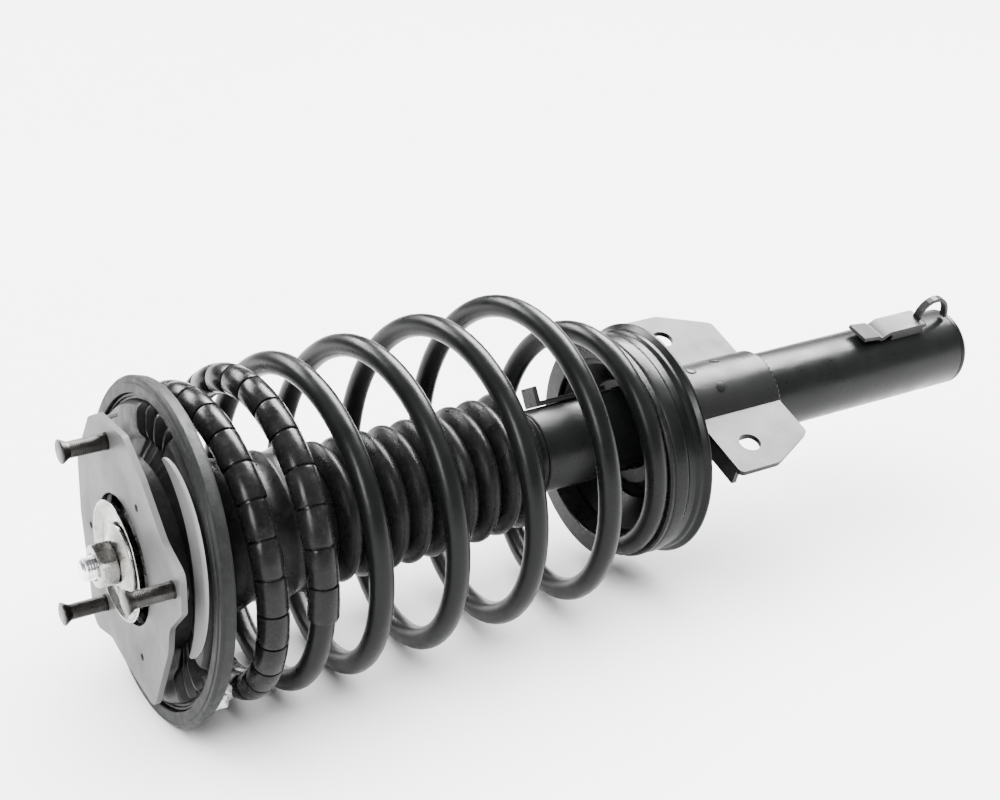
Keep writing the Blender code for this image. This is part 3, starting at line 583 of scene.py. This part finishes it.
def make_painted_highlight():
    """A painted highlight: a pale crescent on the seat's black face between two pockets, standing for light
    falling there; broad in the middle, pointed at both ends.
    """
    source = bmesh.new()
    rings = []
    steps = 120
    for step in range(steps + 1):
        share = step / steps
        angle = HIGHLIGHT_FROM + (HIGHLIGHT_TO - HIGHLIGHT_FROM) * share
        width = math.sin(math.pi * share) ** 0.6
        inner, outer = 0.0630, 0.0640 + 0.0140 * width
        edge = 0.0005 * width + 0.0001
        section = [(0.0113, inner), (0.0099 + edge, inner + edge), (0.0099, inner + 2 * edge),
                   (0.0097, outer - 2 * edge),
                   (0.0097 + edge, outer - edge), (0.0113, outer)]
        rings.append([source.verts.new((x, r * math.cos(angle), r * math.sin(angle))) for x,
                      r in section])
    for one, two in zip(rings, rings[1:]):
        bridge(source, one, two)
    source.faces.new(rings[0])
    source.faces.new(rings[-1])
    finished("seat_painted_highlight", leaned(source), "mount_paint", "upper_seat")


# ---------------------------------------------------------------- boot

def make_boot():
    """Bellows: a faintly rippled cup, then round folds with tight valleys, sagging under its own weight."""
    front, back, cup_radius = span("dust_boot")
    folds_start, folds = 0.1000, 9
    neck, crest, wall, sag = 0.0290, 0.0365, 0.0012, 0.0035
    pitch = (back - folds_start) / folds
    outer = [(front, neck), (front + 0.004, neck + 0.004), (front + 0.010, cup_radius - 0.0008),
             (front + 0.013, cup_radius)]
    for step in range(37):
        share = step / 36
        ripple = 0.0016 * (1 - abs(math.cos(math.tau * share * 1.5)))
        outer.append((0.056 + (folds_start - 0.006 - 0.056) * share, cup_radius - 0.0024 + ripple))
    for fold in range(folds):
        for step in range(10):
            t = step / 10
            outer.append((folds_start + pitch * (fold + t),
                          neck + (crest - neck) * math.sin(math.pi * t) ** 0.75))
    outer += [(back - 0.0004, neck), (back, neck - 0.0004)]
    inner = [(x, r - wall) for x, r in reversed(outer)]
    source = turned(outer + inner, 128)
    for vert in source.verts:
        share = min(max((vert.co.x - 0.060) / (back - 0.060), 0), 1)
        vert.co.z -= sag * math.sin(math.pi * share) ** 0.8 if share else 0
    boot = finished("boot_bellows", source, "black_rubber", "upper_seat", ["dust_boot"], 45)
    squashes(boot)


# ---------------------------------------------------------------- damper

def make_tube():
    front, back, radius = span("strut_tube")
    wall = TUBE_WALL
    tube = turned(rounded([(front, radius - wall, 0.0008), (front, radius, 0.0012),
                           (back, radius, 0.0002), (back, radius - wall, 0.0002)]))
    finished("tube_body", tube, "black_paint", "strut_body", ["strut_tube"])
    front, back, radius = span("base_cap")
    cap = rounded([(front, 0), (front, radius - wall - 0.0003), (back - 0.0060, radius - wall - 0.0003),
                   (back - 0.0060, radius, 0.0002), (back - 0.0035, radius, 0.0016),
                   (back, radius - 0.0030, 0.0020),
                   (back, radius - 0.0052, 0.0006), (back - 0.0012, radius - 0.0064, 0.0006),
                   (back - 0.0012, 0)], closed=False)
    finished("cap_body", turned(cap), "black_paint", "strut_body", ["base_cap"])
    front, back, radius = span("striker_cap")
    cap = rounded([(front, 0.0123, 0.0004), (front, radius - 0.0030, 0.0020), (back, radius, 0.0004),
                   (back, 0.0123, 0.0002)])
    finished("striker_body", turned(cap, 96), "black_paint", "strut_body", ["striker_cap"])


def make_rod():
    front, back, radius = span("piston_rod")
    root, crest = 0.0052, 0.0060
    thread_end = 0.0085
    outline = [(front, 0), (front, root - 0.0012), (front + 0.0010, root)]
    outline += threads(front + 0.0012, thread_end, root, crest, 0.00125)
    outline += [(0.0095, crest), (0.0095, radius - 0.0006), (0.0101, radius), (0.2897, radius),
                (0.2897, 0.0060),
                (back - 0.0008, 0.0060), (back, 0.0052), (back, 0)]
    finished("rod_body", turned(outline, 96), "chrome", "mount", ["piston_rod"])


def make_nut():
    """A flanged look comes from the washer face; both hexagon faces are chamfered by a cone."""
    low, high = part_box("rod_nut")
    front, back = low.x - ORIGIN.x, high.x - ORIGIN.x
    flats = (high.z - low.z) / 2
    bore, segments = 0.0063, 96
    source = bmesh.new()
    stations = [(front, 0.80), (front + 0.0004, 0.98), (front + 0.0012, 1.08), (front + 0.0022, 1.2),
                (back - 0.0014, 1.2), (back - 0.0006, 1.08), (back, 1.00)]
    rings = []
    for x, limit in stations:
        ring = []
        for step in range(segments):
            angle = math.tau * step / segments
            reach = flats / math.cos((angle + math.pi / 6) % (math.pi / 3) - math.pi / 6)
            ring.append((x, min(reach, flats * limit), angle))
        rings.append(ring)
    for x, r in ((back, bore), (front + 0.0008, bore), (front, bore + 0.0008)):
        rings.append([(x, r, math.tau * step / segments) for step in range(segments)])
    lines = [[source.verts.new((x, r * math.cos(a), r * math.sin(a))) for x, r,
              a in ring] for ring in rings]
    for index in range(len(lines)):
        bridge(source, lines[index - 1], lines[index])
    finished("nut_body", source, "bright_zinc", "mount", ["rod_nut"], 25)


def make_mount_hardware():
    front, back, radius = span("cup_washer")
    washer = rounded([(front, 0.0064, 0.0002), (front, 0.0118, 0.0012),
                      (back - 0.0014, radius - 0.0010, 0.0008),
                      (back - 0.0012, radius, 0.0004), (back, radius, 0.0004),
                      (back, radius - 0.0020, 0.0006),
                      (front + 0.0018, 0.0108, 0.0010), (front + 0.0018, 0.0064, 0.0002)])
    finished("washer_body", turned(washer, 120), "bright_zinc", "mount", ["cup_washer"])
    front, back, radius = span("mount_dish")
    wall, sleeve, floor = 0.0013, 0.0098, 0.0260
    bend = front + 0.0030
    dish = rounded([(bend, sleeve, 0.0003), (bend, floor, 0.0020), (front, radius - wall, 0.0004),
                    (front, radius, 0.0004),
                    (back, floor + wall, 0.0024), (back, sleeve, 0.0003)])
    finished("dish_body", turned(dish, 160), "bright_zinc", "mount", ["mount_dish"])
    for number in (1, 2, 3):
        node = f"mount_stud_{number}"
        low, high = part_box(node)
        tip, end = low.x - ORIGIN.x, high.x - ORIGIN.x
        centre = ((low.y + high.y) / 2, (low.z + high.z) / 2 - ORIGIN.z)
        shank, head = 0.0041, (high.y - low.y) / 2
        outline = [(tip, 0), (tip, 0.0048), (tip + 0.0004, 0.0058), (tip + 0.0010, 0.0060),
                   (tip + 0.0016, 0.0057),
                   (tip + 0.0042, shank)]
        outline += threads(tip + 0.0048, -0.0012, shank - 0.00014, shank, 0.00100)
        outline += [(-0.0004, shank), (0.0033, shank), (0.0033, head - 0.0003), (0.0036, head),
                    (end - 0.0003, head),
                    (end, head - 0.0003), (end, 0)]
        finished(f"stud_{number}_body", turned(outline, 64, centre), "dark_zinc", "mount", [node], 30)


def make_plate_tab():
    """The small tab bent up behind the first stud."""
    path = [(0.0004, 0.0255, 0.0640), (0.0022, 0.0262, 0.0652), (0.0060, 0.0266, 0.0660),
            (0.0105, 0.0268, 0.0663)]
    source = bmesh.new()
    rows = []
    for x, y, z in path:
        out = Vector((0, 0.45, 0.893)) * 0.0011
        along = Vector((0, 0.893, -0.45)) * (0.0068 if x < 0.009 else 0.0056)
        middle = Vector((x, y - 0.002, z - 0.003))
        rows.append([source.verts.new(middle + a * along + b * out) for a,
                     b in ((-1, -1), (1, -1), (1, 1), (-1, 1))])
    for one, two in zip(rows, rows[1:]):
        bridge(source, one, two)
    source.faces.new(rows[0])
    source.faces.new(rows[-1])
    bmesh.ops.recalc_face_normals(source, faces=source.faces)
    bmesh.ops.bevel(source, geom=source.edges[:], offset=0.0004, segments=2, profile=0.5, affect="EDGES")
    finished("plate_tab", source, "mount_paint", "mount")


# ---------------------------------------------------------------- lower seat and brackets

def make_lower_seat():
    """A pressed dish set off its axis, with a rolled lip, and the cone that welds it to the tube."""
    low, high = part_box("lower_spring_seat")
    front, back = low.x - ORIGIN.x, high.x - ORIGIN.x
    centre = (0, (low.z + high.z) / 2 - ORIGIN.z)
    rim = (high.y - low.y) / 2
    wall, sheet = rim - 0.0025, 0.0030
    pan = rounded([
        (front, 0.0465, 0.0008), (front, wall - 0.0004, 0.0022), (front + 0.0080, wall, 0.0030),
        (front + 0.0100, wall - 0.0014, 0.0016), (front + 0.0140, wall - 0.0014, 0.0016),
        (front + 0.0160, wall, 0.0016),
        (back - 0.0040, wall, 0.0016), (back - 0.0016, rim, 0.0008), (back, rim, 0.0006),
        (back, rim - 0.0026, 0.0006),
        (back - 0.0020, wall - sheet, 0.0010), (front + sheet, wall - sheet - 0.0012, 0.0018),
        (front + sheet, 0.0485, 0.0020), (front + 0.0150, 0.0330, 0.0020),
        (front + 0.0125, 0.0320, 0.0010),
    ], 4)
    hub_front = front + 0.0098
    hub = rounded([(hub_front, 0.0229, 0.0004), (hub_front, 0.0306, 0.0020),
                   (hub_front + 0.0052, 0.0435, 0.0010),
                   (hub_front + 0.0080, 0.0430, 0.0010), (hub_front + 0.0070, 0.0300, 0.0010),
                   (back, 0.0270, 0.0010),
                   (back, 0.0229, 0.0004)])
    source = joined(turned(pan, 200, centre), turned(hub, 160))
    finished("lower_seat_body", source, "black_paint", "strut_body", ["lower_spring_seat"])


def make_lower_isolator():
    """A rubber ring that follows the last half turn of the wire, with a square stop after the wire's end."""
    low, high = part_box("lower_isolator")
    back, height = high.x - ORIGIN.x, (high.z + low.z) / 2 - ORIGIN.z
    inner, outer = 0.0492, (high.y - low.y) / 2 - 0.0002
    end_angle = SPRING_START_ANGLE + math.tau * SPRING_TURNS
    source = bmesh.new()
    rings = []
    segments = 720
    for step in range(segments):
        angle = math.tau * step / segments
        past = (angle - end_angle) % math.tau
        face = back - 0.0025
        if math.radians(8) < past < math.radians(110):
            face -= 0.0100
        elif past > math.radians(215):
            wire = spring_place(SPRING_TURNS - (math.tau - past) / math.tau).x
            face = min(face, wire + WIRE_RADIUS + 0.0006)
        section = [(back, inner), (face + 0.0006, inner), (face, inner + 0.0006), (face, outer - 0.0010),
                   (face + 0.0010, outer), (back, outer)]
        rings.append([source.verts.new((x, r * math.cos(angle), height + r * math.sin(angle))) for x,
                      r in section])
    for index in range(segments):
        bridge(source, rings[index - 1], rings[index])
    finished("isolator_pad", source, "black_rubber", "strut_body", ["lower_isolator"], 40)


SEAT_WELD_PLACE, CLAMP_WELD_PLACE = 0.3026, 0.3783


def weld_bead(name, front, radius, start, end, thick=0.0018):
    """A rippled fillet weld round the tube between two angles."""
    count = max(24, int(abs(end - start) / 0.035))
    path, radii = [], []
    for step in range(count + 1):
        angle = start + (end - start) * step / count
        path.append(Vector((front, radius * math.cos(angle), radius * math.sin(angle))))
        ends = min(1, step / 3, (count - step) / 3)
        radii.append(thick * (0.45 + 0.55 * ends) * (0.90 + 0.16 * math.sin(step * 1.9)))
    finished(name, swept(path, radii, 10), "black_paint", "strut_body", angle=60)


def make_bracket_details():
    refined("clamp_bracket", "strut_body", "black_paint", 0.0005)
    refined("locating_bracket", "strut_body", "black_paint", 0.0004)
    refined("seat_gusset", "strut_body", "black_paint", 0.0004)
    _, _, tube = span("strut_tube")
    weld_bead("seat_weld", SEAT_WELD_PLACE, tube + 0.0008, 0, math.tau)
    weld_bead("clamp_weld", CLAMP_WELD_PLACE, tube + 0.0008, LYING_ROLL - 0.15, LYING_ROLL + math.pi + 0.15)
    for number, (x, angle) in enumerate(((0.332, 96), (0.352, 84), (0.342, 132)), 1):
        plug = turned(rounded([(0.0, 0), (0.0, 0.0032, 0.0006), (0.0006, 0.0026, 0.0004), (0.0008, 0)],
                              closed=False), 32)
        bmesh.ops.rotate(plug, verts=plug.verts, matrix=Matrix.Rotation(-math.pi / 2, 3, "Y"))
        bmesh.ops.translate(plug, verts=plug.verts, vec=(x, 0, tube + 0.0032))
        rolled(plug, math.radians(angle - 90))
        finished(f"plug_weld_{number}", plug, "black_paint", "strut_body")


def make_plate():
    refined("mount_plate", "mount", "mount_paint", 0.0006)


# ---------------------------------------------------------------- what stays from the CAD

def paint_cad():
    slots = {part["node"]: part["material_slot"] for part in frame["record"]["subparts"]}
    for name, obj in frame["nodes"].items():
        obj.data.materials.clear()
        obj.data.materials.append(FINISHES[slots[name]])


# ---------------------------------------------------------------- stage

def look(obj, target):
    obj.rotation_euler = (Vector(target) - obj.location).to_track_quat("-Z", "Y").to_euler()


def area_light(name, place, target, size, power):
    data = bpy.data.lights.new(name, "AREA")
    data.shape = "RECTANGLE"
    data.size, data.size_y = size
    data.energy = power
    lamp = bpy.data.objects.new(name, data)
    lamp.location = place
    bpy.context.scene.collection.objects.link(lamp)
    look(lamp, target)
    return lamp


def make_stage():
    source = bmesh.new()
    bmesh.ops.create_grid(source, x_segments=1, y_segments=1, size=30)
    mesh = bpy.data.meshes.new("floor")
    source.to_mesh(mesh)
    source.free()
    floor = bpy.data.objects.new("floor", mesh)
    floor.location.z = -0.0003
    bpy.context.scene.collection.objects.link(floor)
    n = Nodes("floor", 0.9)
    n.colour(n.ramp(n.noise(2, 2), [(0.3, (0.88, 0.88, 0.88)), (0.7, (0.90, 0.90, 0.90))]))
    mesh.materials.append(n.material)
    world = bpy.data.worlds.new("studio")
    world.use_nodes = True
    world.node_tree.nodes["Background"].inputs["Color"].default_value = (1, 1, 1, 1)
    world.node_tree.nodes["Background"].inputs["Strength"].default_value = 0.4
    bpy.context.scene.world = world
    ceiling = area_light("ceiling", (0, 1.5, 6), (0, 1.5, 0), (14, 14), 6800)
    ceiling.visible_glossy = False
    for name, place, target, size, power in (
        ("overhead", (1.15, 0.75, 1.75), (0.10, 0, 0.08), (1.7, 1.2), 620),
        ("back", (-0.6, 1.6, 1.3), (0, 0, 0.08), (1.2, 0.4), 120),
        ("front", (-1.5, -0.9, 0.9), (-0.1, 0, 0.08), (0.4, 0.8), 60),
    ):
        lamp = area_light(name, place, target, size, power)
        lamp.visible_diffuse = False


def make_camera():
    yaw, pitch = math.radians(58.74), math.radians(23.72)
    direction = Vector((math.cos(yaw) * math.cos(pitch), math.sin(yaw) * math.cos(pitch),
                        -math.sin(pitch)))
    data = bpy.data.cameras.new("camera")
    data.lens = 66.9
    data.sensor_width = 36
    camera = bpy.data.objects.new("camera", data)
    camera.location = ORIGIN + Vector((-0.251, -0.759, 0.4252))
    camera.rotation_euler = direction.to_track_quat("-Z", "Y").to_euler()
    bpy.context.scene.collection.objects.link(camera)
    bpy.context.scene.camera = camera


paint_cad()
make_spring()
make_sleeve()
make_end_wrap()
make_ring()
make_seat()
make_painted_highlight()
make_boot()
make_tube()
make_rod()
make_nut()
make_mount_hardware()
make_plate_tab()
make_plate()
make_lower_seat()
make_lower_isolator()
make_bracket_details()
make_stage()
make_camera()
